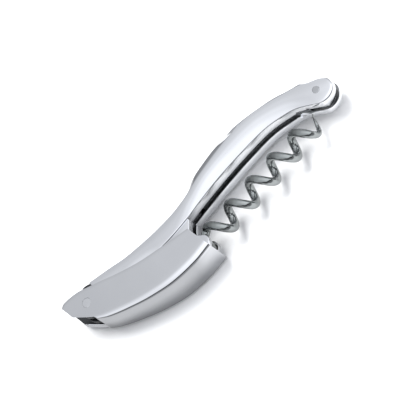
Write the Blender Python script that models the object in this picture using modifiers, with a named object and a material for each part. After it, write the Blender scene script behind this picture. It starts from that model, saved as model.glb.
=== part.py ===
"""Waiters corkscrew: a sprung handle with a foil knife, a worm and a folding lever.

The object lies on its far side, which is how it rests closed on a table. Every outline is drawn in the
side plane, in millimetres: x runs from the lever's free end toward the rounded end of the grip, y runs
from the worm toward the back of the handle, and z is measured from the middle plane. The empty named
side_plane turns that plane so that world +X is the long axis, and puts the origin at the bottom centre.
"""

import math

import bmesh
import bpy
from mathutils import Matrix, Vector

MM = 0.001
LONG_AXIS_TURN = math.radians(15.0)
CENTRE_OF_BOX = (9.088, 0.028)  # along world X and Y, once turned

# Side plates and slot, as distances from the middle plane
SLOT_HALF = 1.30
WORM_POCKET_HALF = 1.95
POCKET_RADIUS = 5.0
LUG_FACE = 3.60
END_FACE = 4.90
PIN_GAP = 0.15
THROUGH = 9.0  # depth of a cutter that goes right through

# Pivots in the side plane
KNIFE_PIVOT = (59.7, -12.9)
WORM_PIVOT = (-1.6, -11.0)
LEVER_PIVOT = (-38.4, 11.6)
KNIFE_PIN_RADIUS = 1.25
WORM_PIN_RADIUS = 1.10
LEVER_PIN_RADIUS = 1.60
RIVET_RADIUS = 0.90
RIVET_HALF = 2.45
WORM_PIN_HALF = 3.90
NECK_RIVET = (3.0, 2.6)
TAIL_RIVET = (-24.0, 9.0)
STOP_PIN = (46.0, -3.3)

# Lever: a bent sheet channel, which narrows toward its ears
LEVER_HALF_WIDTH = 7.00
EAR_HALF_WIDTH = 4.90
TAPER_START = -14.0
SHEET = 1.20
LEVER_FILLET = 2.60
LEVER_LENGTH = 45.0
WEB_CUT = -40.5
EAR_LIP = 0.2
WEB_CROWN = 0.35

# Worm: wire, helix and hub
WIRE_RADIUS = 1.40
HELIX_RADIUS = 3.35
HELIX_TIP_RADIUS = 3.10
HELIX_PITCH = 9.93
HELIX_TURNS = 5.0
HELIX_START = 3.15
WORM_LEAN = 0.146
WORM_AXIS_Y = -9.52
SHANK_OFFSET = 2.65
HUB_RADIUS = 2.80
HUB_HALF = 1.35

TIP_START = 4.35  # turns after which the wire thins to its point
TIP_THINNING = 0.86

KNIFE_HALF = 0.75
SPRING_HALF = 1.15
ROUND_SEGMENTS = 32

# Washers: radius, inner face and outer face from the middle plane
KNIFE_WASHER = (2.6, 0.86, 1.20)
WORM_WASHER = (2.3, 1.50, 1.85)
LEVER_WASHER = (2.6, LUG_FACE - 0.30, LUG_FACE + 0.15)


def clear_scene():
    for old in list(bpy.data.objects):
        bpy.data.objects.remove(old)


def new_collection(name):
    made = bpy.data.collections.new(name)
    bpy.context.scene.collection.children.link(made)
    return made


def metal(name, colour, roughness):
    made = bpy.data.materials.new(name)
    made.use_nodes = True
    shader = made.node_tree.nodes["Principled BSDF"]
    shader.inputs["Base Color"].default_value = (*colour, 1.0)
    shader.inputs["Metallic"].default_value = 1.0
    shader.inputs["Roughness"].default_value = roughness
    return made


clear_scene()
PARTS = new_collection("waiters_corkscrew")
CUTTERS = new_collection("cutters")
CHROME = ((0.86, 0.87, 0.89), 0.06)
STEEL = ((0.62, 0.62, 0.63), 0.25)
BLADE_STEEL = ((0.72, 0.73, 0.75), 0.18)
BRASS = ((0.72, 0.55, 0.28), 0.25)

FRAME = bpy.data.objects.new("side_plane", None)
PARTS.objects.link(FRAME)
FRAME.rotation_euler = (0.0, 0.0, LONG_AXIS_TURN)
FRAME.location = (-CENTRE_OF_BOX[0] * MM, -CENTRE_OF_BOX[1] * MM, LEVER_HALF_WIDTH * MM)


def pivot_empty(name, point):
    made = bpy.data.objects.new(name, None)
    PARTS.objects.link(made)
    made.parent = FRAME
    made.location = (point[0] * MM, point[1] * MM, 0.0)
    return made


def add_part(name, mesh, finish, parent=FRAME, pivot=(0.0, 0.0)):
    """Links a mesh drawn in side-plane metres, with its origin moved to its pivot."""
    mesh.transform(Matrix.Translation((-pivot[0] * MM, -pivot[1] * MM, 0.0)))
    made = bpy.data.objects.new(name, mesh)
    PARTS.objects.link(made)
    made.parent = parent
    mesh.materials.clear()
    mesh.materials.append(metal(name + "_metal", *finish))
    mesh.shade_smooth()
    mesh.set_sharp_from_angle(angle=math.radians(35.0))
    return made


def mesh_of_curve(curve):
    """The evaluated mesh of a curve datablock, with its caps welded on."""
    holder = bpy.data.objects.new("curve_holder", curve)
    bpy.context.scene.collection.objects.link(holder)
    graph = bpy.context.evaluated_depsgraph_get()
    mesh = bpy.data.meshes.new_from_object(holder.evaluated_get(graph))
    bpy.data.objects.remove(holder)
    shape = bmesh.new()
    shape.from_mesh(mesh)
    bmesh.ops.remove_doubles(shape, verts=shape.verts, dist=1e-6)
    bmesh.ops.dissolve_limit(shape, angle_limit=math.radians(0.5), verts=shape.verts, edges=shape.edges)
    bmesh.ops.recalc_face_normals(shape, faces=shape.faces)
    shape.to_mesh(mesh)
    shape.free()
    return mesh


def outline_mesh(name, points, z_low, z_high, resolution=5):
    """A flat outline through side-plane points, filled and extruded. A third value of 1 marks a corner."""
    curve = bpy.data.curves.new(name, "CURVE")
    curve.dimensions = "2D"
    curve.fill_mode = "BOTH"
    curve.extrude = (z_high - z_low) / 2 * MM
    curve.resolution_u = resolution
    spline = curve.splines.new("BEZIER")
    spline.use_cyclic_u = True
    spline.bezier_points.add(len(points) - 1)
    for knot, point in zip(spline.bezier_points, points):
        knot.co = (point[0] * MM, point[1] * MM, 0.0)
        kind = "VECTOR" if len(point) > 2 else "AUTO"
        knot.handle_left_type = kind
        knot.handle_right_type = kind
    mesh = mesh_of_curve(curve)
    mesh.transform(Matrix.Translation((0.0, 0.0, (z_high + z_low) / 2 * MM)))
    return mesh


def cylinder_mesh(name, point, radius, z_low, z_high, segments=ROUND_SEGMENTS):
    shape = bmesh.new()
    middle = Matrix.Translation((point[0] * MM, point[1] * MM, (z_low + z_high) / 2 * MM))
    bmesh.ops.create_cone(
        shape,
        cap_ends=True,
        segments=segments,
        radius1=radius * MM,
        radius2=radius * MM,
        depth=(z_high - z_low) * MM,
        matrix=middle,
    )
    mesh = bpy.data.meshes.new(name)
    shape.to_mesh(mesh)
    shape.free()
    return mesh


def combine(mesh, other, operation):
    """Applies one EXACT Boolean between two meshes that are both drawn in the side plane."""
    body = bpy.data.objects.new("body", mesh)
    tool = bpy.data.objects.new("tool", other)
    tool.hide_render = True
    tool.display_type = "WIRE"
    CUTTERS.objects.link(body)
    CUTTERS.objects.link(tool)
    step = body.modifiers.new(operation.lower(), "BOOLEAN")
    step.operation = operation
    step.solver = "EXACT"
    step.object = tool
    graph = bpy.context.evaluated_depsgraph_get()
    made = bpy.data.meshes.new_from_object(body.evaluated_get(graph))
    bpy.data.objects.remove(body)
    bpy.data.objects.remove(tool)
    return made


def cut(mesh, *tools):
    for tool in tools:
        mesh = combine(mesh, tool, "DIFFERENCE")
    return mesh


def bored_disc(name, point, radius, bore, z_low, z_high):
    disc = cylinder_mesh(name, point, radius, z_low, z_high)
    return cut(disc, cylinder_mesh(name + "_bore", point, bore, z_low - 1, z_high + 1))


def ring_points(centre, radius, start, end, count):
    """Side-plane points on an arc, with angles in degrees."""
    turns = [math.radians(start + (end - start) * i / (count - 1)) for i in range(count)]
    return [(centre[0] + radius * math.cos(t), centre[1] + radius * math.sin(t)) for t in turns]


# Handle


# Each line below is a curve along x through a few points. The heights are distances from the middle plane.
UNDER_LINE = [(-33.0, 9.8), (-20.0, 4.6), (-8.0, 0.6), (2.0, -0.9), (9.0, -1.3), (20.0, -2.2), (30.0, -3.5)]
UNDER_LINE += [(40.0, -5.4), (47.0, -8.2), (51.5, -10.9), (57.0, -17.0)]
RIDGE_LINE = [(-33.0, 17.2), (-25.8, 13.9), (-20.0, 10.9), (-15.5, 9.1), (-10.0, 7.2), (-6.6, 6.2)]
RIDGE_LINE += [(1.8, 4.4), (8.7, 3.7), (13.0, 3.7), (20.0, 3.6), (27.0, 3.5), (32.0, 3.2), (36.0, 2.7)]
RIDGE_LINE += [(40.0, 1.8), (44.0, 0.4), (49.2, -2.0), (54.0, -4.6), (58.3, -7.2), (60.2, -8.9), (61.0, -9.4)]
RIDGE_LINE += [(63.0, -10.8), (65.3, -13.3)]
CREST_HEIGHT = [(-33.0, 3.3), (-26.0, 3.55), (-10.0, 4.7), (0.0, 5.2), (7.0, 5.9), (16.0, 6.8)]
CREST_HEIGHT += [(27.0, 6.8), (40.0, 6.4), (52.0, 5.5), (60.0, 4.9), (65.3, 3.6)]
EDGE_HEIGHT = [(-33.0, 2.4), (-20.0, 2.8), (-14.0, 3.4), (-9.0, 4.15), (0.0, 4.6), (30.0, 4.6)]
EDGE_HEIGHT += [(50.0, 4.3), (60.0, 4.0), (65.3, 3.4)]
BAND_WIDTH = [(-33.0, 0.5), (6.0, 0.5), (9.0, 0.6), (14.0, 1.9), (20.0, 2.2), (26.0, 2.1), (31.0, 1.3)]
BAND_WIDTH += [(34.0, 0.6), (52.0, 0.5), (60.2, 0.4)]
BAND_DROP = [(-33.0, 0.9), (50.0, 1.0), (58.0, 1.3), (61.0, 2.0), (65.3, 2.2)]
ROUND_END = (60.2, -13.1)
ROUND_END_RADIUS = 4.98
BACK_BULGE = 0.35
TAIL_END = -33.0


def smooth_through(points, x):
    """A smooth curve through points sorted by x, as a piecewise cubic (Catmull-Rom) value at x."""
    i = max(0, sum(point[0] < x for point in points[:-1]) - 1)
    (x0, y0), (x1, y1) = points[i], points[i + 1]
    before = points[i - 1] if i else (2 * x0 - x1, 2 * y0 - y1)
    after = points[i + 2] if i + 2 < len(points) else (2 * x1 - x0, 2 * y1 - y0)
    slope0 = (y1 - before[1]) / (x1 - before[0])
    slope1 = (after[1] - y0) / (after[0] - x0)
    width = x1 - x0
    t = (x - x0) / width
    bend = (2 * t**3 - 3 * t**2 + 1) * y0 + (t**3 - 2 * t**2 + t) * width * slope0
    return bend + (3 * t**2 - 2 * t**3) * y1 + (t**3 - t**2) * width * slope1


def plate_lines_at(x):
    """The y of the underside, of the ridge line and of the back at x, which meet in a round end."""
    reach = math.sqrt(max(0.04, ROUND_END_RADIUS**2 - (x - ROUND_END[0]) ** 2))
    low = smooth_through(UNDER_LINE, x) if x < UNDER_LINE[-1][0] else ROUND_END[1] - reach
    ridge = smooth_through(RIDGE_LINE, x)
    if x < ROUND_END[0]:
        return low, ridge, ridge + smooth_through(BAND_WIDTH, x)
    high = ROUND_END[1] + reach * (1 - BACK_BULGE / ROUND_END_RADIUS)
    narrow = 0.044 + 0.016 * (x - ROUND_END[0])
    return low, min(max(ridge, low + 0.3 * (high - low)), high - narrow * (high - low)), high


def plate_section(x):
    """A plate's section at x: up its wall at the worm, over the face to a ridge, and down the back."""
    low, ridge, high = plate_lines_at(x)
    crest = smooth_through(CREST_HEIGHT, x)
    edge = smooth_through(EDGE_HEIGHT, x)
    drop = smooth_through(BAND_DROP, x)
    ring = [(low, SLOT_HALF), (low, edge)]
    for share in (0.08, 0.2, 0.38, 0.6, 0.8, 1.0):
        ring.append((low + (ridge - low) * share, edge + (crest - edge) * (1 - (1 - share) ** 2.2)))
    for share in (0.5, 1.0):
        ring.append((ridge + (high - ridge) * share, crest - drop * share**1.15))
    wall = crest - drop - SLOT_HALF
    bulge = BACK_BULGE * min(1.0, (high - low) / ROUND_END_RADIUS)
    ring += [(high + 0.7 * bulge, SLOT_HALF + 0.8 * wall), (high + bulge, SLOT_HALF + 0.45 * wall)]
    ring.append((high + bulge, SLOT_HALF))
    return ring


def plate_stations():
    """The x of each section: even along the plate, and closing up on the round end."""
    straight = [TAIL_END + (ROUND_END[0] - TAIL_END) * i / 46 for i in range(46)]
    turns = [math.pi / 2 * i / 9 for i in range(10)]
    return straight + [ROUND_END[0] + (ROUND_END_RADIUS - 0.02) * math.sin(turn) for turn in turns]


def plate_body(name):
    """The long shell of a plate: a loft through unlike sections."""
    shape = bmesh.new()
    rings = []
    for x in plate_stations():
        rings.append([shape.verts.new((x * MM, y * MM, z * MM)) for y, z in plate_section(x)])
    count = len(rings[0])
    for first, second in zip(rings, rings[1:]):
        for k in range(count):
            after = (k + 1) % count
            shape.faces.new((first[k], first[after], second[after], second[k]))
    shape.faces.new(rings[0])
    shape.faces.new(rings[-1])
    bmesh.ops.recalc_face_normals(shape, faces=shape.faces)
    mesh = bpy.data.meshes.new(name)
    shape.to_mesh(mesh)
    shape.free()
    return mesh


WORM_BRACKET = [(2.6, 0.2, 1), (2.6, -1.4, 1), (0.4, -3.4), (-0.9, -5.8), (0.4, -8.2), (1.8, -11.0)]
WORM_BRACKET += [(0.4, -13.2), (-2.4, -13.6), (-6.0, -10.6), (-9.4, -4.0), (-9.6, 1.6, 1), (-4.0, 0.9)]
BRACKET_FACE = 4.05
LUG = [(-31.0, 14.8, 1), (-31.0, 9.8, 1), (-34.0, 8.2)]
LUG_TOP = [(-38.6, 16.9), (-35.6, 18.0), (-33.0, 16.9, 1)]
LUG_RADIUS = 4.2
TIP_NEST = (50.6, -11.2)
TIP_NEST_RADIUS, TIP_NEST_DEPTH = 2.2, 1.4
TIP_NEST_TURN = Matrix.Rotation(math.radians(33.0), 4, "Z") @ Matrix.Rotation(-math.pi / 2, 4, "X")


def side_plate(name, near):
    bracket = outline_mesh(name + "_bracket", WORM_BRACKET, SLOT_HALF, BRACKET_FACE)
    lug_outline = LUG + ring_points(LEVER_PIVOT, LUG_RADIUS, -100.0, -230.0, 6) + LUG_TOP
    lug = outline_mesh(name + "_lug", lug_outline, SLOT_HALF + 0.01, LUG_FACE - 0.4)
    plate = combine(combine(plate_body(name), bracket, "UNION"), lug, "UNION")
    holes = (
        (KNIFE_PIVOT, KNIFE_PIN_RADIUS, THROUGH),
        (WORM_PIVOT, WORM_PIN_RADIUS, THROUGH),
        (LEVER_PIVOT, LEVER_PIN_RADIUS, THROUGH),
        (NECK_RIVET, RIVET_RADIUS, RIVET_HALF + PIN_GAP),
        (TAIL_RIVET, RIVET_RADIUS, RIVET_HALF + PIN_GAP),
        (STOP_PIN, RIVET_RADIUS, RIVET_HALF + PIN_GAP),
    )
    for point, radius, depth in holes:
        plate = cut(plate, cylinder_mesh(name + "_hole", point, radius + PIN_GAP, -1.0, depth))
    pocket = cylinder_mesh(name + "_pocket", WORM_PIVOT, POCKET_RADIUS, -1.0, WORM_POCKET_HALF)
    nest = cylinder_mesh(name + "_tip_nest", (0.0, 0.0), TIP_NEST_RADIUS, -3.0, TIP_NEST_DEPTH)
    nest.transform(Matrix.Translation((TIP_NEST[0] * MM, TIP_NEST[1] * MM, 0.0)) @ TIP_NEST_TURN)
    plate = cut(plate, pocket, nest)
    if not near:
        plate.transform(Matrix.Diagonal((1.0, 1.0, -1.0, 1.0)))
        plate.flip_normals()
    return add_part(name, plate, CHROME)


def spacers_and_rivets():
    neck = [(-1.5, 3.6), (3.0, 4.4), (7.0, 4.0), (7.0, 1.2), (3.0, 0.6), (-1.5, 0.4)]
    tail = [(-31.5, 15.4), (-24.0, 11.8), (-17.0, 8.8), (-17.0, 5.2), (-24.0, 7.0), (-31.5, 9.6)]
    for name, outline, rivet in (("neck_spacer", neck, NECK_RIVET), ("tail_spacer", tail, TAIL_RIVET)):
        block = outline_mesh(name, outline, -SPRING_HALF, SPRING_HALF)
        bore = cylinder_mesh(name + "_bore", rivet, RIVET_RADIUS + PIN_GAP, -THROUGH, THROUGH)
        add_part(name, cut(block, bore), STEEL)
    for name, point in (("neck_rivet", NECK_RIVET), ("tail_rivet", TAIL_RIVET), ("knife_stop_pin", STOP_PIN)):
        add_part(name, cylinder_mesh(name, point, RIVET_RADIUS, -RIVET_HALF, RIVET_HALF, 20), STEEL)


def leaf_springs():
    """Two flat springs, edge on in the slot: one under the knife, one behind the worm and lever."""
    knife_side = [(8.2, 2.0, 1), (8.2, 0.7, 1), (20.0, -0.2), (30.0, -1.6), (40.0, -3.6), (47.0, -6.4)]
    knife_side += [(51.6, -9.1), (54.5, -11.5, 1), (54.9, -10.2, 1), (52.2, -7.9), (47.5, -5.2), (40.3, -2.3)]
    knife_side += [(30.2, -0.2), (20.0, 1.2)]
    worm_side = [(-2.9, 3.2, 1), (-2.9, 1.4, 1), (-6.4, -1.2), (-7.2, -6.4), (-6.2, -8.6, 1), (-7.6, -9.2, 1)]
    worm_side += [(-8.9, -6.0), (-8.6, 0.2), (-12.6, 3.4), (-16.2, 5.2, 1), (-16.2, 7.0, 1), (-9.0, 4.2)]
    for name, outline in (("knife_leaf_spring", knife_side), ("worm_leaf_spring", worm_side)):
        add_part(name, outline_mesh(name, outline, -SPRING_HALF, SPRING_HALF, 4), BLADE_STEEL)


# Foil knife


NAIL_NICK = (36.5, 6.1)
NICK_RADIUS, NICK_DEPTH = 1.3, 0.3
TANG_RADIUS = 4.0


def foil_knife(pivot):
    """A curved blade on a round tang, folded along the back of the grip with its spine standing proud."""
    spine = [(28.2, 5.6, 1), (29.5, 8.0), (33.0, 8.5), (37.0, 7.6), (41.0, 6.1), (45.0, 4.4), (50.0, 2.0)]
    spine += [(54.5, -0.9), (58.4, -3.1, 1), (59.3, -4.6, 1), (59.9, -9.9)]
    tang = ring_points(KNIFE_PIVOT, TANG_RADIUS, 60.0, -80.0, 6) + [(58.2, -17.1, 1)]
    tang += ring_points(KNIFE_PIVOT, TANG_RADIUS, -150.0, -205.0, 3)
    belly = [(54.0, -7.4), (48.0, -2.7), (44.2, -0.9), (40.0, 0.3), (34.0, 2.4)]
    blade = outline_mesh("foil_knife", spine + tang + belly, -KNIFE_HALF, KNIFE_HALF, 4)
    bore = cylinder_mesh("knife_bore", KNIFE_PIVOT, KNIFE_PIN_RADIUS + PIN_GAP, -THROUGH, THROUGH)
    nick = cylinder_mesh("nail_nick", NAIL_NICK, NICK_RADIUS, KNIFE_HALF - NICK_DEPTH, THROUGH, 20)
    add_part("foil_knife", cut(blade, bore, nick), BLADE_STEEL, pivot, KNIFE_PIVOT)


def washer_pair(stem, point, pin_radius, washer):
    radius, inner, outer = washer
    near = bored_disc(stem + "_near", point, radius, pin_radius + PIN_GAP, inner, outer)
    far = bored_disc(stem + "_far", point, radius, pin_radius + PIN_GAP, -outer, -inner)
    add_part(stem + "_near", near, BRASS)
    add_part(stem + "_far", far, BRASS)


def knife_hardware():
    pin = cylinder_mesh("knife_pivot_pin", KNIFE_PIVOT, KNIFE_PIN_RADIUS, -END_FACE, END_FACE)
    add_part("knife_pivot_pin", pin, STEEL)
    washer_pair("knife_washer", KNIFE_PIVOT, KNIFE_PIN_RADIUS, KNIFE_WASHER)


# Worm


def helix_axis_y(x):
    return WORM_AXIS_Y - WORM_LEAN * x


def worm_path():
    """Wire centre points and their radii, from the hub along the shank, the helix and the point."""
    shank_y = WORM_PIVOT[1] + SHANK_OFFSET
    start_y = helix_axis_y(HELIX_START) + HELIX_RADIUS
    path = [((WORM_PIVOT[0], shank_y, 0.0), 1.0), ((-0.4, shank_y + 0.1, 0.0), 1.0)]
    path += [((0.6, shank_y + 0.45, 0.0), 1.0), ((1.6, (shank_y + start_y) / 2 + 0.3, -0.15), 1.0)]
    path += [((2.4, start_y - 0.25, -0.1), 1.0)]
    steps = 20
    last = int(HELIX_TURNS * steps)
    for i in range(last + 1):
        turn = i / steps
        angle = 2 * math.pi * turn
        along = turn / HELIX_TURNS
        radius = HELIX_RADIUS + (HELIX_TIP_RADIUS - HELIX_RADIUS) * along
        x = HELIX_START + HELIX_PITCH * turn
        y = helix_axis_y(x) + radius * math.cos(angle)
        thin = 1.0 - TIP_THINNING * max(0.0, (turn - TIP_START) / (HELIX_TURNS - TIP_START)) ** 1.1
        path.append(((x, y, radius * math.sin(angle)), thin))
    return path


def worm(pivot):
    curve = bpy.data.curves.new("worm_wire", "CURVE")
    curve.dimensions = "3D"
    curve.bevel_depth = WIRE_RADIUS * MM
    curve.bevel_resolution = 2
    curve.use_fill_caps = True
    path = worm_path()
    spline = curve.splines.new("POLY")
    spline.points.add(len(path) - 1)
    for knot, (point, radius) in zip(spline.points, path):
        knot.co = (*(value * MM for value in point), 1.0)
        knot.radius = radius
    wire = mesh_of_curve(curve)
    hub = cylinder_mesh("worm_hub", WORM_PIVOT, HUB_RADIUS, -HUB_HALF, HUB_HALF)
    whole = combine(wire, hub, "UNION")
    bore = cylinder_mesh("worm_bore", WORM_PIVOT, WORM_PIN_RADIUS + PIN_GAP, -THROUGH, THROUGH, 24)
    add_part("worm", cut(whole, bore), CHROME, pivot, WORM_PIVOT)


def worm_hardware():
    pin = cylinder_mesh("worm_pivot_pin", WORM_PIVOT, WORM_PIN_RADIUS, -WORM_PIN_HALF, WORM_PIN_HALF)
    add_part("worm_pivot_pin", pin, STEEL)
    washer_pair("worm_washer", WORM_PIVOT, WORM_PIN_RADIUS, WORM_WASHER)


# Lever


def half_width(x):
    """Distance from the middle plane to a flange's outer face, easing into the taper."""
    share = max(0.0, (TAPER_START - x) / (TAPER_START + LEVER_LENGTH)) ** 1.5
    return LEVER_HALF_WIDTH + (EAR_HALF_WIDTH - LEVER_HALF_WIDTH) * share


FLANGE_EDGE = [(-45.0, 18.8), (-43.2, 19.2), (-38.0, 17.2), (-34.0, 14.4), (-30.2, 11.6), (-25.0, 7.6)]
FLANGE_EDGE += [(-17.4, 2.7), (-8.9, -1.3), (0.0, -5.25)]
WEB_LINE = [(-45.0, 11.4), (-41.0, 5.0), (-37.5, 0.9), (-30.0, -5.0), (-24.0, -8.9), (-16.5, -12.6)]
WEB_LINE += [(-7.0, -15.0), (0.0, -15.5)]


def lever_section(x):
    """Half of the channel's section at x, from the flange's free edge to the middle of the web."""
    top, bottom = smooth_through(FLANGE_EDGE, x), smooth_through(WEB_LINE, x)
    width = half_width(x)
    flange = [(top, width), ((top + bottom) / 2, width)]
    bend = []
    for i in range(6):
        turn = math.pi / 2 * i / 5
        y = bottom + LEVER_FILLET * (1 - math.sin(turn))
        bend.append((y, width - LEVER_FILLET * (1 - math.cos(turn))))
    flat = width - LEVER_FILLET
    web = []
    for share in (0.5, 0.0):
        web.append((bottom - WEB_CROWN * (1 - share**2), flat * share))
    return flange + bend + web


def lever(pivot):
    """A grid shaped into the channel's outer skin, then thickened inward by Solidify."""
    half = len(lever_section(0.0))
    across, along = 2 * half - 2, 30
    shape = bmesh.new()
    bmesh.ops.create_grid(shape, x_segments=along, y_segments=across, size=1.0)
    sections = [lever_section(-LEVER_LENGTH * (1 - i / along)) for i in range(along + 1)]
    for vert in shape.verts:
        i = round((vert.co.x + 1) / 2 * along)
        j = round((vert.co.y + 1) / 2 * across)
        side = 1 if j < half else -1
        y, z = sections[i][j if j < half else across - j]
        vert.co = Vector((-LEVER_LENGTH * (1 - i / along), y, side * z)) * MM
    open_end = []
    for face in shape.faces:
        middle = face.calc_center_median() / MM
        if middle.x < WEB_CUT and abs(middle.z) < half_width(middle.x) - EAR_LIP:
            open_end.append(face)
    bmesh.ops.delete(shape, geom=open_end, context="FACES")
    shape.normal_update()
    if sum(face.normal.z * face.calc_center_median().z for face in shape.faces) < 0:
        bmesh.ops.reverse_faces(shape, faces=shape.faces)
    mesh = bpy.data.meshes.new("lever_skin")
    shape.to_mesh(mesh)
    shape.free()
    skin = bpy.data.objects.new("lever_skin", mesh)
    CUTTERS.objects.link(skin)
    thick = skin.modifiers.new("sheet", "SOLIDIFY")
    thick.thickness = SHEET * MM
    thick.offset = -1.0
    thick.use_even_offset = True
    graph = bpy.context.evaluated_depsgraph_get()
    channel = bpy.data.meshes.new_from_object(skin.evaluated_get(graph))
    bpy.data.objects.remove(skin)
    bore = cylinder_mesh("lever_bore", LEVER_PIVOT, LEVER_PIN_RADIUS + PIN_GAP, -THROUGH, THROUGH)
    add_part("lever", cut(channel, bore), CHROME, pivot, LEVER_PIVOT)


def lever_hardware(pivot):
    reach = half_width(LEVER_PIVOT[0]) - 0.05
    pin = cylinder_mesh("lever_pivot_pin", LEVER_PIVOT, LEVER_PIN_RADIUS, -reach, reach)
    add_part("lever_pivot_pin", pin, STEEL, pivot, LEVER_PIVOT)
    washer_pair("lever_washer", LEVER_PIVOT, LEVER_PIN_RADIUS, LEVER_WASHER)


side_plate("side_plate_near", True)
side_plate("side_plate_far", False)
spacers_and_rivets()
leaf_springs()
foil_knife(pivot_empty("knife_axis", KNIFE_PIVOT))
knife_hardware()
worm(pivot_empty("worm_axis", WORM_PIVOT))
worm_hardware()
LEVER_AXIS = pivot_empty("lever_axis", LEVER_PIVOT)
lever(LEVER_AXIS)
lever_hardware(LEVER_AXIS)
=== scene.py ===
import math

import bmesh
import bpy
from mathutils import Matrix, Vector


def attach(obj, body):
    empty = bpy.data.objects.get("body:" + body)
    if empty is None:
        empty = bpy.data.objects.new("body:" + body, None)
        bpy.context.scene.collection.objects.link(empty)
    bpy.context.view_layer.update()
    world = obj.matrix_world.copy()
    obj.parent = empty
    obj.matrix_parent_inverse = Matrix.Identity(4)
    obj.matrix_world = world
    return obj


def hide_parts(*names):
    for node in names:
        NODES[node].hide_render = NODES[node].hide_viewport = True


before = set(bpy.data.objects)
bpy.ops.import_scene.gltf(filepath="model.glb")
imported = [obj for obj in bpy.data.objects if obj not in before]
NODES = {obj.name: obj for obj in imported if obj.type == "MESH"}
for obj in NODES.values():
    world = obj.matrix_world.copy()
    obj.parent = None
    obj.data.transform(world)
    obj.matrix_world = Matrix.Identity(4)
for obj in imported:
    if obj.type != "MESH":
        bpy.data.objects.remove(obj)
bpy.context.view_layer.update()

# The object's own plane, in millimetres: x runs from the lever's free end to the rounded end of the grip,
# y from the worm to the back of the handle, and z from the middle plane toward the near side.
MM = 0.001
CENTRE_OF_BOX = (9.088, 0.028)
HALF_THICKNESS = 7.0
SIDE = (
    Matrix.Translation((-CENTRE_OF_BOX[0] * MM, -CENTRE_OF_BOX[1] * MM, HALF_THICKNESS * MM))
    @ Matrix.Rotation(math.radians(15.0), 4, "Z")
    @ Matrix.Scale(MM, 4)
)

KNIFE_PIVOT = (59.7, -12.9)
WORM_PIVOT = (-1.6, -11.0)
LEVER_PIVOT = (-38.4, 11.6)
KNIFE_PIN_RADIUS, WORM_PIN_RADIUS, LEVER_PIN_RADIUS = 1.25, 1.10, 1.60
SLOT_HALF = 1.30
LUG_FACE = 3.60
CLEARANCE = 0.15
FINE_CLEARANCE = 0.03
THROUGH = 9.0

SMALL_CUTTERS = bpy.data.collections.new("cutters")
bpy.context.scene.collection.children.link(SMALL_CUTTERS)


# Materials


def node(tree, kind, inputs=None, **settings):
    made = tree.nodes.new(kind)
    for key, value in settings.items():
        setattr(made, key, value)
    for key, value in (inputs or {}).items():
        if isinstance(value, bpy.types.NodeSocket):
            tree.links.new(value, made.inputs[key])
        else:
            made.inputs[key].default_value = value
    return made


def noise(tree, where, scale, detail=3.0, rough=0.5):
    return node(
        tree, "ShaderNodeTexNoise", {"Vector": where, "Scale": scale, "Detail": detail, "Roughness": rough}
    ).outputs["Fac"]


def remap(tree, value, low, high, to_low, to_high):
    return node(
        tree,
        "ShaderNodeMapRange",
        {"Value": value, "From Min": low, "From Max": high, "To Min": to_low, "To Max": to_high},
    ).outputs["Result"]


def math_node(tree, operation, first, second):
    return node(tree, "ShaderNodeMath", {0: first, 1: second}, operation=operation).outputs[0]


def stretched(tree, where, turn, scale):
    """Coordinates drawn out along one direction, for hairlines."""
    return node(
        tree,
        "ShaderNodeMapping",
        {"Vector": where, "Rotation": (0.0, 0.0, math.radians(turn)), "Scale": scale},
    ).outputs["Vector"]


def hairlines(tree, where, turn, density, share):
    """Thin scratches in one direction: 1 on a scratch and 0 elsewhere."""
    lines = noise(tree, stretched(tree, where, turn, (0.035, 1.0, 0.6)), density, 2.0, 0.6)
    return remap(tree, lines, 0.5 + share, 0.5 + share + 0.05, 0.0, 1.0)


def metal(name, dark, light, polish, dull, scratch, ripple, brush_turn=None):
    """A worn metal: its colour drifts, its polish varies in patches, and fine scratches cross it."""
    made = bpy.data.materials.new(name)
    made.use_nodes = True
    tree = made.node_tree
    shader = tree.nodes["Principled BSDF"]
    shader.inputs["Metallic"].default_value = 1.0
    where = node(tree, "ShaderNodeTexCoord").outputs["Object"]
    drift = noise(tree, where, 70.0, 4.0, 0.55)
    tint = node(tree, "ShaderNodeMix", {"Factor": drift}, data_type="RGBA")
    tint.inputs["A"].default_value = (*dark, 1.0)
    tint.inputs["B"].default_value = (*light, 1.0)
    tree.links.new(tint.outputs["Result"], shader.inputs["Base Color"])
    patches = remap(tree, noise(tree, where, 240.0, 5.0, 0.6), 0.35, 0.75, polish, dull)
    marks = math_node(
        tree,
        "MAXIMUM",
        hairlines(tree, where, 17.0, 1900.0, 0.20),
        hairlines(tree, where, -38.0, 1500.0, 0.22),
    )
    rough = math_node(tree, "ADD", patches, math_node(tree, "MULTIPLY", marks, scratch))
    swell = noise(tree, where, 130.0, 2.0, 0.4)
    height = math_node(tree, "SUBTRACT", swell, math_node(tree, "MULTIPLY", marks, 0.12))
    if brush_turn is not None:
        grain = noise(tree, stretched(tree, where, brush_turn, (0.03, 1.0, 1.0)), 5200.0, 3.0, 0.7)
        rough = math_node(tree, "ADD", rough, remap(tree, grain, 0.3, 0.7, 0.0, 0.14))
        height = math_node(tree, "ADD", height, math_node(tree, "MULTIPLY", grain, 0.25))
    tree.links.new(rough, shader.inputs["Roughness"])
    bump = node(tree, "ShaderNodeBump", {"Height": height, "Strength": ripple, "Distance": 0.00004})
    tree.links.new(bump.outputs["Normal"], shader.inputs["Normal"])
    return made


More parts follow.
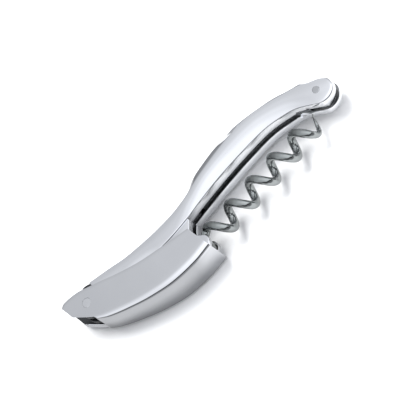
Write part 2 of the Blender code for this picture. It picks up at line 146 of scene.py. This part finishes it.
# Each metal: its two tints, its roughness where polished and where dull, its scratches and its ripple
CHROME = metal("polished_chrome", (0.80, 0.81, 0.84), (0.87, 0.88, 0.90), 0.02, 0.07, 0.05, 0.25)
WORM_CHROME = metal("worm_chrome", (0.19, 0.21, 0.20), (0.42, 0.435, 0.44), 0.05, 0.11, 0.08, 0.4)
BLADE = metal("blade_steel", (0.62, 0.63, 0.65), (0.74, 0.75, 0.77), 0.12, 0.22, 0.08, 0.6, 15.0)
STEEL = metal("pin_steel", (0.50, 0.50, 0.51), (0.64, 0.64, 0.66), 0.14, 0.26, 0.08, 0.6, 60.0)
PIN_HEAD = metal("pin_head_steel", (0.60, 0.61, 0.63), (0.70, 0.71, 0.73), 0.06, 0.14, 0.06, 0.4)
# Unplated steel inside the slot, darker than bare steel: its own colour in part, and in part painted shade.
INNER_STEEL_AND_SHADE = metal("inner_steel_and_painted_shade", (0.18, 0.185, 0.19), (0.38, 0.385, 0.39), 0.08, 0.20, 0.10, 1.0)
# Painted shade: a near-black finish for faces inside the lever's channel and on the lug, where shade falls.
PAINTED_SHADE = metal("channel_painted_shade", (0.060, 0.062, 0.065), (0.120, 0.122, 0.126), 0.22, 0.36, 0.10, 0.6)
BRASS = metal("washer_brass", (0.58, 0.42, 0.18), (0.74, 0.56, 0.28), 0.16, 0.30, 0.08, 0.6)


# Mesh tools


def add_piece(name, mesh, material, body, replaced, sharp=50.0):
    mesh.transform(SIDE)
    made = bpy.data.objects.new(name, mesh)
    bpy.context.scene.collection.objects.link(made)
    mesh.materials.clear()
    mesh.materials.append(material)
    mesh.shade_smooth()
    mesh.set_sharp_from_angle(angle=math.radians(sharp))
    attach(made, body)
    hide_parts(replaced)
    return made


def darken(piece, hidden, finish=INNER_STEEL_AND_SHADE):
    """Gives a darker finish to the faces picked by a test on a face's centre and normal in millimetres:
    unplated steel darkened to paint shade, or painted shade alone.
    """
    piece.data.materials.append(finish)
    back = SIDE.inverted()
    turn = SIDE.to_3x3().normalized().inverted()
    for face in piece.data.polygons:
        if hidden(back @ face.center, turn @ face.normal):
            face.material_index = len(piece.data.materials) - 1


def evaluated(holder):
    """The finished mesh of an object with its modifiers; the object goes."""
    graph = bpy.context.evaluated_depsgraph_get()
    mesh = bpy.data.meshes.new_from_object(holder.evaluated_get(graph))
    bpy.data.objects.remove(holder)
    return mesh


def mesh_of_curve(curve):
    holder = bpy.data.objects.new("curve_holder", curve)
    bpy.context.scene.collection.objects.link(holder)
    mesh = evaluated(holder)
    shape = bmesh.new()
    shape.from_mesh(mesh)
    bmesh.ops.remove_doubles(shape, verts=shape.verts, dist=1e-3)
    bmesh.ops.recalc_face_normals(shape, faces=shape.faces)
    shape.to_mesh(mesh)
    shape.free()
    return mesh


def outline_mesh(name, points, z_low, z_high, edge=0.0, resolution=14):
    """A flat outline, filled, extruded, its rims rounded by edge. A third value of 1 marks a corner."""
    curve = bpy.data.curves.new(name, "CURVE")
    curve.dimensions = "2D"
    curve.fill_mode = "BOTH"
    curve.extrude = (z_high - z_low) / 2 - edge
    curve.bevel_depth = edge
    curve.bevel_resolution = 2
    curve.offset = -edge
    curve.resolution_u = resolution
    spline = curve.splines.new("BEZIER")
    spline.use_cyclic_u = True
    spline.bezier_points.add(len(points) - 1)
    for knot, point in zip(spline.bezier_points, points):
        knot.co = (point[0], point[1], 0.0)
        kind = "VECTOR" if len(point) > 2 else "AUTO"
        knot.handle_left_type = kind
        knot.handle_right_type = kind
    mesh = mesh_of_curve(curve)
    mesh.transform(Matrix.Translation((0.0, 0.0, (z_high + z_low) / 2)))
    return mesh


def cylinder_mesh(name, point, radius, z_low, z_high, segments=64):
    shape = bmesh.new()
    middle = Matrix.Translation((point[0], point[1], (z_low + z_high) / 2))
    bmesh.ops.create_cone(
        shape,
        cap_ends=True,
        segments=segments,
        radius1=radius,
        radius2=radius,
        depth=z_high - z_low,
        matrix=middle,
    )
    mesh = bpy.data.meshes.new(name)
    shape.to_mesh(mesh)
    shape.free()
    return mesh


def combine(mesh, other, operation):
    """Applies one EXACT Boolean between two meshes."""
    body = bpy.data.objects.new("body", mesh)
    tool = bpy.data.objects.new("tool", other)
    tool.hide_render = True
    SMALL_CUTTERS.objects.link(body)
    SMALL_CUTTERS.objects.link(tool)
    step = body.modifiers.new(operation.lower(), "BOOLEAN")
    step.operation = operation
    step.solver = "EXACT"
    step.object = tool
    made = evaluated(body)
    bpy.data.objects.remove(tool)
    return made


def cut(mesh, *tools):
    for tool in tools:
        mesh = combine(mesh, tool, "DIFFERENCE")
    return mesh


def ring_points(centre, radius, start, end, count):
    turns = [math.radians(start + (end - start) * i / (count - 1)) for i in range(count)]
    return [(centre[0] + radius * math.cos(t), centre[1] + radius * math.sin(t)) for t in turns]


def smooth_through(points, x):
    """A smooth curve through points sorted by x, as a piecewise cubic (Catmull-Rom) value at x."""
    i = max(0, sum(point[0] < x for point in points[:-1]) - 1)
    (x0, y0), (x1, y1) = points[i], points[i + 1]
    before = points[i - 1] if i else (2 * x0 - x1, 2 * y0 - y1)
    after = points[i + 2] if i + 2 < len(points) else (2 * x1 - x0, 2 * y1 - y0)
    slope0 = (y1 - before[1]) / (x1 - before[0])
    slope1 = (after[1] - y0) / (after[0] - x0)
    width = x1 - x0
    t = (x - x0) / width
    bend = (2 * t**3 - 3 * t**2 + 1) * y0 + (t**3 - 2 * t**2 + t) * width * slope0
    return bend + (3 * t**2 - 2 * t**3) * y1 + (t**3 - t**2) * width * slope1


# Side plates

UNDER_LINE = [(-33.0, 9.8), (-20.0, 4.6), (-8.0, 0.6), (2.0, -0.9), (9.0, -1.3), (20.0, -2.2), (30.0, -3.5)]
UNDER_LINE += [(40.0, -5.4), (47.0, -8.2), (51.5, -10.9), (57.0, -17.0)]
RIDGE_LINE = [(-33.0, 17.2), (-25.8, 13.9), (-20.0, 10.9), (-15.5, 9.1), (-10.0, 7.2), (-6.6, 6.2)]
RIDGE_LINE += [(1.8, 4.4), (8.7, 3.7), (13.0, 3.7), (20.0, 3.6), (27.0, 3.5), (32.0, 3.2), (36.0, 2.7)]
RIDGE_LINE += [(40.0, 1.8), (44.0, 0.4), (49.2, -2.0), (54.0, -4.6), (58.3, -7.2), (60.2, -8.9), (61.0, -9.4)]
RIDGE_LINE += [(63.0, -10.8), (65.3, -13.3)]
CREST_HEIGHT = [(-33.0, 3.3), (-26.0, 3.55), (-10.0, 4.7), (0.0, 5.2), (7.0, 5.9), (16.0, 6.8)]
CREST_HEIGHT += [(27.0, 6.8), (40.0, 6.4), (52.0, 5.5), (60.0, 4.9), (65.3, 3.6)]
EDGE_HEIGHT = [(-33.0, 2.4), (-20.0, 2.8), (-14.0, 3.4), (-9.0, 4.15), (0.0, 4.6), (30.0, 4.6)]
EDGE_HEIGHT += [(50.0, 4.3), (60.0, 4.0), (65.3, 3.4)]
BAND_WIDTH = [(-33.0, 0.5), (6.0, 0.5), (9.0, 0.6), (14.0, 1.9), (20.0, 2.2), (26.0, 2.1), (31.0, 1.3)]
BAND_WIDTH += [(34.0, 0.6), (52.0, 0.5), (60.2, 0.4)]
BAND_DROP = [(-33.0, 0.9), (50.0, 1.0), (58.0, 1.3), (61.0, 2.0), (65.3, 2.2)]
ROUND_END = (60.2, -13.1)
ROUND_END_RADIUS = 4.98
BACK_BULGE = 0.35
TAIL_END = -33.0
LEAST_REACH = 0.2
RIDGE_LEAST_SHARE = 0.3
END_BAND_SHARE, END_BAND_GROWTH = 0.044, 0.016
UNDER_ROUNDING, END_ROUNDING = 0.38, 0.95
END_ROUNDING_FROM = 50.0
SLOT_ROUNDING = 0.14
FACE_CROWN, BAND_CROWN = 2.2, 1.15
BACK_SHOULDER, BACK_DEPTH = 0.18, 0.55  # shares of the wall's height where the back turns and where it ends


def plate_lines_at(x):
    """The y of the underside, of the ridge line and of the back at x, which meet in a round end."""
    reach = math.sqrt(max(LEAST_REACH**2, ROUND_END_RADIUS**2 - (x - ROUND_END[0]) ** 2))
    low = smooth_through(UNDER_LINE, x) if x < UNDER_LINE[-1][0] else ROUND_END[1] - reach
    ridge = smooth_through(RIDGE_LINE, x)
    if x < ROUND_END[0]:
        return low, ridge, ridge + smooth_through(BAND_WIDTH, x)
    high = ROUND_END[1] + reach * (1 - BACK_BULGE / ROUND_END_RADIUS)
    band = END_BAND_SHARE + END_BAND_GROWTH * (x - ROUND_END[0])
    ridge = max(ridge, low + RIDGE_LEAST_SHARE * (high - low))
    return low, min(ridge, high - band * (high - low)), high


def rounding(depth, radius):
    """How far a rounded rim has dropped at a depth in from the outline."""
    if depth >= radius:
        return 0.0
    return radius - math.sqrt(radius**2 - (radius - max(0.0, depth)) ** 2)


RIM_SHARES = (0.0, 0.002, 0.006, 0.013, 0.022, 0.034, 0.050, 0.070)
FACE_STEPS, BAND_STEPS, BACK_STEPS = 26, 6, 9


def plate_section(x):
    """A plate's section at x: up its wall at the worm, over the face to a ridge, and round the back."""
    low, ridge, high = plate_lines_at(x)
    crest = smooth_through(CREST_HEIGHT, x)
    edge = smooth_through(EDGE_HEIGHT, x)
    drop = smooth_through(BAND_DROP, x)
    past_end = x - ROUND_END[0]
    toward_end = min(1.0, max(0.0, (x - END_ROUNDING_FROM) / (ROUND_END[0] - END_ROUNDING_FROM)))
    rim = UNDER_ROUNDING + (END_ROUNDING - UNDER_ROUNDING) * toward_end**2
    ring = [(low, SLOT_HALF + SLOT_ROUNDING), (low, (SLOT_HALF + edge) / 2)]
    first = RIM_SHARES[-1]
    shares = list(RIM_SHARES) + [first + (1 - first) * i / FACE_STEPS for i in range(1, FACE_STEPS + 1)]
    for share in shares:
        y = low + (ridge - low) * share
        depth = y - low
        if past_end > 0:
            depth = ROUND_END_RADIUS - math.hypot(past_end, y - ROUND_END[1])
        z = edge + (crest - edge) * (1 - (1 - share) ** FACE_CROWN)
        ring.append((y, z - rounding(depth, rim)))
    start = ring[-1]
    sunk = crest - start[1]
    for i in range(1, BAND_STEPS + 1):
        share = i / BAND_STEPS
        ring.append((ridge + (high - ridge) * share, crest - sunk * (1 - share) - drop * share**BAND_CROWN))
    bulge = BACK_BULGE * min(1.0, (high - low) / ROUND_END_RADIUS)
    top = crest - drop
    wall = top - SLOT_HALF
    for i in range(1, BACK_STEPS + 1):
        t = i / BACK_STEPS
        y = high + bulge * (2 * t * (1 - t) + t * t)
        fall = 2 * t * (1 - t) * BACK_SHOULDER + t * t * BACK_DEPTH
        ring.append((y, top - fall * wall))
    high += bulge
    ring.append((high, SLOT_HALF + SLOT_ROUNDING))
    inset = min(SLOT_ROUNDING, (high - low) / 5)
    ring += [(high - inset * 0.3, SLOT_HALF + SLOT_ROUNDING * 0.3), (high - inset, SLOT_HALF)]
    ring += [(low + inset, SLOT_HALF), (low + inset * 0.3, SLOT_HALF + SLOT_ROUNDING * 0.3)]
    return ring


STRAIGHT_STEPS, END_STEPS = 190, 26
END_GAP = 0.004


def plate_stations():
    """The x of each section: even along the plate, and closing up on the round end."""
    length = ROUND_END[0] - TAIL_END
    straight = [TAIL_END + length * i / STRAIGHT_STEPS for i in range(STRAIGHT_STEPS)]
    turns = [math.pi / 2 * i / END_STEPS for i in range(END_STEPS + 1)]
    return straight + [ROUND_END[0] + (ROUND_END_RADIUS - END_GAP) * math.sin(turn) for turn in turns]


def plate_body(name):
    shape = bmesh.new()
    rings = []
    for x in plate_stations():
        rings.append([shape.verts.new((x, y, z)) for y, z in plate_section(x)])
    count = len(rings[0])
    for first, second in zip(rings, rings[1:]):
        for k in range(count):
            after = (k + 1) % count
            shape.faces.new((first[k], first[after], second[after], second[k]))
    shape.faces.new(rings[0])
    shape.faces.new(rings[-1])
    bmesh.ops.recalc_face_normals(shape, faces=shape.faces)
    mesh = bpy.data.meshes.new(name)
    shape.to_mesh(mesh)
    shape.free()
    return mesh


WORM_BRACKET = [(2.6, 0.2, 1), (2.6, -1.4, 1), (0.4, -3.4), (-0.9, -5.8), (0.4, -8.2), (1.8, -11.0)]
WORM_BRACKET += [(0.4, -13.2), (-2.4, -13.6), (-6.0, -10.6), (-9.4, -4.0), (-9.6, 1.6, 1), (-4.0, 0.9)]
BRACKET_FACE = 4.05
LUG = [(-31.0, 14.8, 1), (-31.0, 9.8, 1), (-34.0, 8.2)]
LUG_TOP = [(-38.6, 16.9), (-35.6, 18.0), (-33.0, 16.9, 1)]
LUG_RADIUS = 4.2
POCKET_RADIUS, POCKET_HALF = 5.0, 1.95
TIP_NEST = (50.6, -11.2)
TIP_NEST_RADIUS, TIP_NEST_DEPTH = 2.2, 1.4
TIP_NEST_TURN = Matrix.Rotation(math.radians(33.0), 4, "Z") @ Matrix.Rotation(-math.pi / 2, 4, "X")


def inside_slot(at, facing):
    return abs(at.z) < POCKET_HALF + 0.05 and facing.z * at.z < -0.9 * abs(at.z)


def beyond_tail(at, facing):
    return at.x < TAIL_END - 0.05


def side_plate(name, near):
    bracket = outline_mesh(name + "_bracket", WORM_BRACKET, SLOT_HALF, BRACKET_FACE, 0.2)
    lug_outline = LUG + ring_points(LEVER_PIVOT, LUG_RADIUS, -100.0, -230.0, 6) + LUG_TOP
    lug = outline_mesh(name + "_lug", lug_outline, SLOT_HALF + 0.01, LUG_FACE - 0.4, 0.2)
    plate = combine(combine(plate_body(name), bracket, "UNION"), lug, "UNION")
    for point, radius, gap in (
        (KNIFE_PIVOT, KNIFE_PIN_RADIUS, FINE_CLEARANCE),
        (WORM_PIVOT, WORM_PIN_RADIUS, FINE_CLEARANCE),
        (LEVER_PIVOT, LEVER_PIN_RADIUS, CLEARANCE),
    ):
        plate = cut(plate, cylinder_mesh(name + "_hole", point, radius + gap, -1.0, THROUGH))
    pocket = cylinder_mesh(name + "_pocket", WORM_PIVOT, POCKET_RADIUS, -1.0, POCKET_HALF)
    nest = cylinder_mesh(name + "_tip_nest", (0.0, 0.0), TIP_NEST_RADIUS, -3.0, TIP_NEST_DEPTH)
    nest.transform(Matrix.Translation((*TIP_NEST, 0.0)) @ TIP_NEST_TURN)
    plate = cut(plate, pocket, nest)
    if not near:
        plate.transform(Matrix.Diagonal((1.0, 1.0, -1.0, 1.0)))
        plate.flip_normals()
    skin = add_piece(name + "_skin", plate, CHROME, "handle", name)
    # Painted shade, in part unplated steel: the slot's inner faces take the darkened inner steel.
    darken(skin, inside_slot)
    # Painted shade: the lug's faces beyond the tail end take a near-black finish.
    darken(skin, beyond_tail, PAINTED_SHADE)


side_plate("side_plate_near", True)
side_plate("side_plate_far", False)


# Foil knife

KNIFE_HALF = 0.75
NAIL_NICK = (36.5, 6.1)
NICK_RADIUS, NICK_DEPTH = 1.3, 0.3
TANG_RADIUS = 4.0


def foil_knife():
    spine = [(28.2, 5.6, 1), (29.5, 8.0), (33.0, 8.5), (37.0, 7.6), (41.0, 6.1), (45.0, 4.4), (50.0, 2.0)]
    spine += [(54.5, -0.9), (58.4, -3.1, 1), (59.3, -4.6, 1), (59.9, -9.9)]
    tang = ring_points(KNIFE_PIVOT, TANG_RADIUS, 60.0, -80.0, 6) + [(58.2, -17.1, 1)]
    tang += ring_points(KNIFE_PIVOT, TANG_RADIUS, -150.0, -205.0, 3)
    belly = [(54.0, -7.4), (48.0, -2.7), (44.2, -0.9), (40.0, 0.3), (34.0, 2.4)]
    blade = outline_mesh("foil_knife", spine + tang + belly, -KNIFE_HALF, KNIFE_HALF, 0.12)
    bore = cylinder_mesh("knife_bore", KNIFE_PIVOT, KNIFE_PIN_RADIUS + CLEARANCE, -THROUGH, THROUGH)
    nick = cylinder_mesh("nail_nick", NAIL_NICK, NICK_RADIUS, KNIFE_HALF - NICK_DEPTH, THROUGH)
    blade = cut(blade, bore, nick)
    add_piece("foil_knife_blade", blade, BLADE, "knife", "foil_knife", 30.0)


foil_knife()


# Worm

WIRE_RADIUS = 1.40
HELIX_RADIUS, HELIX_TIP_RADIUS = 3.35, 3.10
HELIX_PITCH, HELIX_TURNS, HELIX_START = 9.93, 5.0, 3.15
WORM_LEAN = 0.146
WORM_AXIS_Y = -9.52
SHANK_OFFSET = 2.65
HUB_RADIUS, HUB_HALF = 2.80, 1.35
TIP_START, TIP_THINNING = 4.35, 0.86


def helix_axis_y(x):
    return WORM_AXIS_Y - WORM_LEAN * x


def worm_path():
    """Wire centre points and their radii, from the hub along the shank, the helix and the point."""
    shank_y = WORM_PIVOT[1] + SHANK_OFFSET
    start_y = helix_axis_y(HELIX_START) + HELIX_RADIUS
    path = [((WORM_PIVOT[0], shank_y, 0.0), 1.0), ((-0.4, shank_y + 0.1, 0.0), 1.0)]
    path += [((0.6, shank_y + 0.45, 0.0), 1.0), ((1.6, (shank_y + start_y) / 2 + 0.3, -0.15), 1.0)]
    path += [((2.4, start_y - 0.25, -0.1), 1.0)]
    steps = 20
    last = int(HELIX_TURNS * steps)
    for i in range(last + 1):
        turn = i / steps
        angle = 2 * math.pi * turn
        along = turn / HELIX_TURNS
        radius = HELIX_RADIUS + (HELIX_TIP_RADIUS - HELIX_RADIUS) * along
        x = HELIX_START + HELIX_PITCH * turn
        y = helix_axis_y(x) + radius * math.cos(angle)
        thin = 1.0 - TIP_THINNING * max(0.0, (turn - TIP_START) / (HELIX_TURNS - TIP_START)) ** 1.1
        path.append(((x, y, radius * math.sin(angle)), thin))
    return path


def worm():
    curve = bpy.data.curves.new("worm_wire", "CURVE")
    curve.dimensions = "3D"
    curve.bevel_depth = WIRE_RADIUS
    curve.bevel_resolution = 7
    curve.use_fill_caps = True
    curve.resolution_u = 4
    path = worm_path()
    spline = curve.splines.new("NURBS")
    spline.order_u = 4
    spline.use_endpoint_u = True
    spline.points.add(len(path) - 1)
    for knot, (point, radius) in zip(spline.points, path):
        knot.co = (*point, 1.0)
        knot.radius = radius
    wire = mesh_of_curve(curve)
    hub = cylinder_mesh("worm_hub", WORM_PIVOT, HUB_RADIUS, -HUB_HALF, HUB_HALF)
    whole = combine(wire, hub, "UNION")
    bore = cylinder_mesh("worm_bore", WORM_PIVOT, WORM_PIN_RADIUS + CLEARANCE, -THROUGH, THROUGH)
    add_piece("worm_wire", cut(whole, bore), WORM_CHROME, "worm", "worm")


worm()


# Lever

LEVER_HALF_WIDTH, EAR_HALF_WIDTH = 7.00, 4.90
TAPER_START = -14.0
SHEET = 1.20
LEVER_FILLET = 2.60
LEVER_LENGTH = 45.0
WEB_CUT_SHARE = 0.1
WEB_CROWN = 0.35
RIM_ROUNDING = 0.16
FLANGE_EDGE = [(-45.0, 18.8), (-43.2, 19.2), (-38.0, 17.2), (-34.0, 14.4), (-30.2, 11.6), (-25.0, 7.6)]
FLANGE_EDGE += [(-17.4, 2.7), (-8.9, -1.3), (0.0, -5.25)]
WEB_LINE = [(-45.0, 11.4), (-41.0, 5.0), (-37.5, 0.9), (-30.0, -5.0), (-24.0, -8.9), (-16.5, -12.6)]
WEB_LINE += [(-7.0, -15.0), (0.0, -15.5)]
FLANGE_STEPS, BEND_STEPS, WEB_STEPS = 6, 14, 8
EAR_BEND_STEPS = 3


def half_width(x):
    """Distance from the middle plane to a flange's outer face, easing into the taper."""
    share = max(0.0, (TAPER_START - x) / (TAPER_START + LEVER_LENGTH)) ** 1.5
    return LEVER_HALF_WIDTH + (EAR_HALF_WIDTH - LEVER_HALF_WIDTH) * share


def lever_section(x):
    """Half of the channel's section at x, from the flange's free edge to the middle of the web."""
    top, bottom = smooth_through(FLANGE_EDGE, x), smooth_through(WEB_LINE, x)
    width = half_width(x)
    foot = bottom + LEVER_FILLET
    flange = [(top + (foot - top) * i / FLANGE_STEPS, width) for i in range(FLANGE_STEPS)]
    bend = []
    for i in range(BEND_STEPS + 1):
        turn = math.pi / 2 * i / BEND_STEPS
        y = bottom + LEVER_FILLET * (1 - math.sin(turn))
        bend.append((y, width - LEVER_FILLET * (1 - math.cos(turn))))
    flat = width - LEVER_FILLET
    web = []
    for i in range(1, WEB_STEPS + 1):
        share = 1 - i / WEB_STEPS
        web.append((bottom - WEB_CROWN * (1 - share**2), flat * share))
    return flange + bend + web


def lever():
    """A fine skin for the bent channel, thickened inward, with its rims rounded."""
    half = len(lever_section(0.0))
    across, along = 2 * half - 2, 120
    ear = FLANGE_STEPS + EAR_BEND_STEPS
    shape = bmesh.new()
    rows = []
    for i in range(along + 1):
        x = -LEVER_LENGTH * (1 - i / along)
        section = lever_section(x)
        row = [(x, y, z) for y, z in section] + [(x, y, -z) for y, z in reversed(section[:-1])]
        rows.append([shape.verts.new(point) for point in row])
    for i in range(along):
        for j in range(across):
            if i < WEB_CUT_SHARE * along and ear <= j < across - ear:
                continue
            shape.faces.new((rows[i][j], rows[i + 1][j], rows[i + 1][j + 1], rows[i][j + 1]))
    loose = [vert for vert in shape.verts if not vert.link_faces]
    bmesh.ops.delete(shape, geom=loose, context="VERTS")
    shape.normal_update()
    if sum(face.normal.z * face.calc_center_median().z for face in shape.faces) < 0:
        bmesh.ops.reverse_faces(shape, faces=shape.faces)
    mesh = bpy.data.meshes.new("lever_skin")
    shape.to_mesh(mesh)
    shape.free()
    skin = bpy.data.objects.new("lever_skin", mesh)
    SMALL_CUTTERS.objects.link(skin)
    thick = skin.modifiers.new("sheet", "SOLIDIFY")
    thick.thickness = SHEET
    thick.offset = -1.0
    thick.use_even_offset = True
    rim = skin.modifiers.new("rim", "BEVEL")
    rim.width = RIM_ROUNDING
    rim.segments = 3
    rim.limit_method = "ANGLE"
    rim.angle_limit = math.radians(50.0)
    channel = evaluated(skin)
    bore = cylinder_mesh("lever_bore", LEVER_PIVOT, LEVER_PIN_RADIUS + FINE_CLEARANCE, -THROUGH, THROUGH)
    piece = add_piece("lever_channel", cut(channel, bore), CHROME, "lever", "lever")

    def inside(at, facing):
        clear = half_width(at.x) - SHEET + 0.02
        floor_y = smooth_through(WEB_LINE, at.x) + LEVER_FILLET
        if abs(at.z) > clear:
            return False
        return facing.z * at.z < -0.3 * abs(at.z) or (at.y < floor_y and facing.y > 0.3)

    # Painted shade: the channel's inner faces and the web's inside take a near-black finish.
    darken(piece, inside, PAINTED_SHADE)


lever()


# Pins, turned with a small chamfer and a faint crown

PIN_CHAMFER = 0.05
PIN_CROWN = 0.02


def turned_pin(name, point, radius, reach, replaced, body, finish=PIN_HEAD):
    shape = bmesh.new()
    profile = [(0.0, reach + PIN_CROWN), (radius * 0.5, reach + PIN_CROWN * 0.75)]
    profile += [(radius - PIN_CHAMFER, reach), (radius, reach - PIN_CHAMFER)]
    profile += [(radius, PIN_CHAMFER - reach), (radius - PIN_CHAMFER, -reach)]
    profile += [(radius * 0.5, -reach - PIN_CROWN * 0.75), (0.0, -reach - PIN_CROWN)]
    line = [shape.verts.new((out, 0.0, z)) for out, z in profile]
    edges = [shape.edges.new(pair) for pair in zip(line, line[1:])]
    bmesh.ops.spin(
        shape, geom=line + edges, cent=(0, 0, 0), axis=(0, 0, 1), steps=64, angle=2 * math.pi
    )
    bmesh.ops.remove_doubles(shape, verts=shape.verts, dist=1e-4)
    bmesh.ops.recalc_face_normals(shape, faces=shape.faces)
    mesh = bpy.data.meshes.new(name)
    shape.to_mesh(mesh)
    shape.free()
    mesh.transform(Matrix.Translation((point[0], point[1], 0.0)))
    add_piece(name, mesh, finish, body, replaced, 35.0)


turned_pin("knife_pin", KNIFE_PIVOT, KNIFE_PIN_RADIUS, 4.86, "knife_pivot_pin", "handle")
turned_pin("worm_pin", WORM_PIVOT, WORM_PIN_RADIUS, 3.84, "worm_pivot_pin", "handle")
LEVER_PIN_REACH = half_width(LEVER_PIVOT[0]) - 0.04
turned_pin("lever_pin", LEVER_PIVOT, LEVER_PIN_RADIUS, LEVER_PIN_REACH, "lever_pivot_pin", "lever", CHROME)

for name, part in NODES.items():
    if part.hide_render:
        continue
    finish = BRASS if "washer" in name else BLADE if "spring" in name else STEEL
    for place in part.material_slots:
        place.material = finish


# Studio: a white floor, a sky that is bright overhead with a dark band low in front, and one soft lamp


FLOOR_RADIUS = 4.0
# Painted light: mirrors see the floor painted darker or brighter by place: its brightness under the lever and
# under the grip, and how it falls off
PAINTED_FLOOR_LIGHT = (0.36, 0.80)
GLOW_CHANGE = (-0.015, 0.012)
GLOW_FALL = (0.04, 0.35)
FAR_GLOW = 0.35


def floor():
    shape = bmesh.new()
    bmesh.ops.create_circle(shape, cap_ends=True, segments=96, radius=FLOOR_RADIUS)
    mesh = bpy.data.meshes.new("floor")
    shape.to_mesh(mesh)
    shape.free()
    made = bpy.data.objects.new("floor", mesh)
    bpy.context.scene.collection.objects.link(made)
    made.location.z = -0.00005
    paper = bpy.data.materials.new("white_paper_and_painted_reflection")
    paper.use_nodes = True
    tree = paper.node_tree
    shader = tree.nodes["Principled BSDF"]
    where = node(tree, "ShaderNodeTexCoord").outputs["Object"]
    grain = noise(tree, where, 900.0, 4.0)
    shade = node(tree, "ShaderNodeMix", {"Factor": grain}, data_type="RGBA")
    shade.inputs["A"].default_value = (0.90, 0.90, 0.90, 1.0)
    shade.inputs["B"].default_value = (0.93, 0.93, 0.93, 1.0)
    tree.links.new(shade.outputs["Result"], shader.inputs["Base Color"])
    shader.inputs["Roughness"].default_value = 0.9
    shader.inputs["Specular IOR Level"].default_value = 0.1
    # Painted reflection: glossy rays see a diffuse floor whose brightness is painted by place, dim under the
    # lever, bright under the grip and falling off away from the object.
    away = node(tree, "ShaderNodeVectorMath", {0: where}, operation="LENGTH").outputs["Value"]
    along = node(tree, "ShaderNodeSeparateXYZ", {"Vector": where}).outputs["X"]
    near_glow = remap(tree, along, *GLOW_CHANGE, *PAINTED_FLOOR_LIGHT)
    glow = math_node(tree, "MULTIPLY", near_glow, remap(tree, away, *GLOW_FALL, 1.0, FAR_GLOW))
    dim = node(tree, "ShaderNodeBsdfDiffuse", {"Color": glow})
    mirrored = node(tree, "ShaderNodeLightPath").outputs["Is Glossy Ray"]
    mix = node(tree, "ShaderNodeMixShader", {"Fac": mirrored})
    tree.links.new(shader.outputs["BSDF"], mix.inputs[1])
    tree.links.new(dim.outputs["BSDF"], mix.inputs[2])
    tree.links.new(mix.outputs["Shader"], tree.nodes["Material Output"].inputs["Surface"])
    mesh.materials.append(paper)


floor()

# Brightness round the sky's arc, from the front horizon over the top to the horizon behind the object
SKY = [(0.00, 0.34), (0.08, 0.30), (0.11, 0.04), (0.165, 0.05), (0.19, 1.15), (0.42, 1.18), (0.54, 0.95)]
SKY += [(0.63, 0.74), (0.72, 0.60), (0.82, 0.44), (0.92, 0.30), (1.00, 0.25)]
SKY_SIDES = (0.80, 1.35)  # factors toward the lever's end and toward the grip
SIDE_REACH = 0.6
PLAIN = 1.25


def sky():
    world = bpy.data.worlds.new("studio")
    bpy.context.scene.world = world
    world.use_nodes = True
    tree = world.node_tree
    for old in list(tree.nodes):
        tree.nodes.remove(old)
    where = node(tree, "ShaderNodeTexCoord").outputs["Generated"]
    turned = node(
        tree,
        "ShaderNodeMapping",
        {"Vector": where, "Rotation": (0.0, 0.0, math.radians(-15.0))},
        vector_type="POINT",
    ).outputs["Vector"]
    parts = node(tree, "ShaderNodeSeparateXYZ", {"Vector": turned})
    front = math_node(tree, "MULTIPLY", parts.outputs["Y"], -1.0)
    arc = math_node(tree, "ARCTAN2", parts.outputs["Z"], front)
    share = math_node(tree, "DIVIDE", arc, math.pi)
    ramp = node(tree, "ShaderNodeValToRGB", {"Fac": share})
    ramp.color_ramp.interpolation = "EASE"
    side = remap(tree, parts.outputs["X"], -SIDE_REACH, SIDE_REACH, *SKY_SIDES)
    elements = ramp.color_ramp.elements
    while len(elements) < len(SKY):
        elements.new(0.5)
    for element, (place, value) in zip(elements, SKY):
        element.position = place
        element.color = (value * 0.97, value * 0.99, value * 1.03, 1.0)
    lit = node(tree, "ShaderNodeVectorMath", {0: ramp.outputs["Color"]}, operation="SCALE")
    tree.links.new(side, lit.inputs["Scale"])
    seen = node(tree, "ShaderNodeLightPath").outputs["Is Camera Ray"]
    pick = node(tree, "ShaderNodeMix", {"Factor": seen}, data_type="RGBA")
    tree.links.new(lit.outputs["Vector"], pick.inputs["A"])
    pick.inputs["B"].default_value = (PLAIN, PLAIN, PLAIN, 1.0)
    back = node(tree, "ShaderNodeBackground", {"Color": pick.outputs["Result"], "Strength": 1.0})
    out = node(tree, "ShaderNodeOutputWorld")
    tree.links.new(back.outputs["Background"], out.inputs["Surface"])


sky()


def lamp(name, toward, distance, size, power, glossy):
    light = bpy.data.lights.new(name, "AREA")
    light.shape = "DISK"
    light.size = size
    light.energy = power
    made = bpy.data.objects.new(name, light)
    bpy.context.scene.collection.objects.link(made)
    direction = (SIDE.to_3x3() @ Vector(toward)).normalized()
    made.location = direction * distance
    made.rotation_mode = "QUATERNION"
    made.rotation_quaternion = direction.to_track_quat("Z", "Y")
    made.visible_glossy = glossy
    made.visible_camera = False


lamp("soft_lamp", (0.05, 0.42, 0.90), 1.1, 0.75, 14.0, False)

# Camera: long lens, at the object's front and above, rolled so that the object runs up to the right
VIEW = Vector((0.0, -0.6, 0.8))
ROLL = math.radians(54.4)
AIM = (9.03, -3.02, 0.0)
FIELD = 0.13473
DISTANCE = 1.0


def camera():
    data = bpy.data.cameras.new("camera")
    data.sensor_width = 36.0
    data.lens = data.sensor_width * DISTANCE / FIELD
    data.clip_start, data.clip_end = 0.05, 20.0
    made = bpy.data.objects.new("camera", data)
    bpy.context.scene.collection.objects.link(made)
    along = Vector((1.0, 0.0, 0.0))
    down = Vector((0.0, -VIEW.z, VIEW.y))
    right = along * math.cos(ROLL) + down * math.sin(ROLL)
    up = along * math.sin(ROLL) - down * math.cos(ROLL)
    turn = SIDE.to_3x3().normalized()
    axes = Matrix((turn @ right, turn @ up, turn @ VIEW)).transposed()
    made.rotation_mode = "QUATERNION"
    made.rotation_quaternion = axes.to_quaternion()
    made.location = (SIDE @ Vector(AIM)) + (turn @ VIEW) * DISTANCE
    bpy.context.scene.camera = made


camera()
bpy.context.scene.view_settings.view_transform = "Standard"
